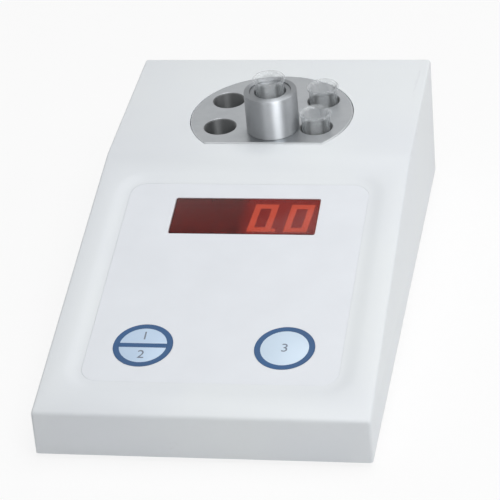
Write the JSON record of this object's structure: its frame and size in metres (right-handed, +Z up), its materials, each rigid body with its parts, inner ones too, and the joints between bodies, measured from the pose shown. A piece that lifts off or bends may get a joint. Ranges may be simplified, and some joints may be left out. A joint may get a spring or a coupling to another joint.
{
  "type": "coagulation analyzer",
  "caption": "Bench coagulation analyzer: wedge case, keypad tray with red display and round keys, heated cuvette block with a spinning measuring turret.",
  "frame": {"origin": "on the bench, under the middle of the case's rectangle", "axes": "+Z up; +Y towards the rear, along the case's length; +X to the user's right"},
  "size_m": [0.11, 0.202, 0.0669],
  "materials": {
    "white_case": "fine satin moulded plastic",
    "white_foil": "smooth printed keypad foil",
    "red_window": "dark red see-through filter",
    "digit_face": "dark display face with lit red bars",
    "circuit_board": "green lacquered board",
    "black_plastic": "fine satin",
    "white_plunger": "satin",
    "block_metal": "faced and lightly bead blasted",
    "turret_metal": "fine turned",
    "sheet_steel": "zinc plated sheet",
    "polished_steel": "polished",
    "brass": "turned",
    "belt_rubber": "matt",
    "foot_rubber": "matt",
    "foam": "closed cell foam",
    "clear_plastic": "clear moulded plastic",
    "grey_cable": "flat and round cable"
  },
  "bodies": {
    "case": {"ball_sensor": "black_plastic", "base_plate": "sheet_steel", "bearing_spacer": "brass", "block_insulation": "foam", "block_post_front_right": "brass", "block_post_left": "brass", "block_post_rear": "brass", "buzzer": "black_plastic", "case_screw_front_left": "polished_steel", "case_screw_front_right": "polished_steel", "case_screw_rear_left": "polished_steel", "case_screw_rear_right": "polished_steel", "digit_1": "digit_face", "digit_2": "digit_face", "digit_3": "digit_face", "digit_4": "digit_face", "display_board": "circuit_board", "display_ribbon": "grey_cable", "display_window": "red_window", "drive_belt": "belt_rubber", "drive_motor": "sheet_steel", "drive_plate": "sheet_steel", "foot_front_left": "foot_rubber", "foot_front_right": "foot_rubber", "foot_rear_left": "foot_rubber", "foot_rear_right": "foot_rubber", "front_foil": "white_foil", "heater_block": "block_metal", "heater_left": "black_plastic", "heater_right": "black_plastic", "key_board": "circuit_board", "key_ribbon": "grey_cable", "left_key_switch": "black_plastic", "lower_bearing": "polished_steel", "main_board": "circuit_board", "measuring_turret": "turret_metal", "power_inlet": "black_plastic", "power_lead": "grey_cable", "power_switch_frame": "black_plastic", "processor_chip": "black_plastic", "right_key_switch": "black_plastic", "temperature_sensor": "polished_steel", "upper_bearing": "polished_steel", "upper_shell": "white_case", "voltage_regulator": "black_plastic"},
    "left_key": {"left_key": "white_foil", "left_key_plunger": "white_plunger"},
    "right_key": {"right_key": "white_foil", "right_key_plunger": "white_plunger"},
    "rotor": {"rotor_cup": "turret_metal", "rotor_pulley": "black_plastic"},
    "motor_rotor": {"motor_shaft": "polished_steel", "motor_pulley": "brass"},
    "measuring_cuvette": {"cuvette_measuring": "clear_plastic", "ball_measuring": "polished_steel"},
    "rear_right_cuvette": {"cuvette_rear_right": "clear_plastic", "ball_rear_right": "polished_steel"},
    "front_right_cuvette": {"cuvette_front_right": "clear_plastic", "ball_front_right": "polished_steel"},
    "rocker": {"power_rocker": "black_plastic"}
  },
  "joints": [
    {"name": "left_key_press", "type": "slide", "parent": "case", "child": "left_key", "axis": [0, 0.2082, -0.9781], "range_m": [0, 0.0005], "stiffness_N_per_m": 400},
    {"name": "right_key_press", "type": "slide", "parent": "case", "child": "right_key", "axis": [0, 0.2082, -0.9781], "range_m": [0, 0.0005], "stiffness_N_per_m": 400},
    {"name": "rotor_spin", "type": "hinge", "parent": "case", "child": "rotor", "pos_m": [0.003, 0.04708, 0.04596], "axis": [0, -0.0508, 0.9987], "continuous": true},
    {"name": "motor_spin", "type": "hinge", "parent": "case", "child": "motor_rotor", "pos_m": [-0.0415, 0.02421, 0.0448], "axis": [0, -0.0508, 0.9987], "continuous": true},
    {"name": "measuring_cuvette_lift", "type": "slide", "parent": "rotor", "child": "measuring_cuvette", "axis": [0, -0.0508, 0.9987], "range_m": [0, 0.035]},
    {"name": "rear_right_cuvette_lift", "type": "slide", "parent": "case", "child": "rear_right_cuvette", "axis": [0, -0.0508, 0.9987], "range_m": [0, 0.035]},
    {"name": "front_right_cuvette_lift", "type": "slide", "parent": "case", "child": "front_right_cuvette", "axis": [0, -0.0508, 0.9987], "range_m": [0, 0.035]},
    {"name": "power_rocker_tilt", "type": "hinge", "parent": "case", "child": "rocker", "pos_m": [-0.02, 0.096, 0.0138], "axis": [0, 0, 1], "range_deg": [-16, 0]}
  ],
  "couplings": [
    {"joint": "motor_spin", "follows": "rotor_spin", "ratio": 2.5}
  ]
}
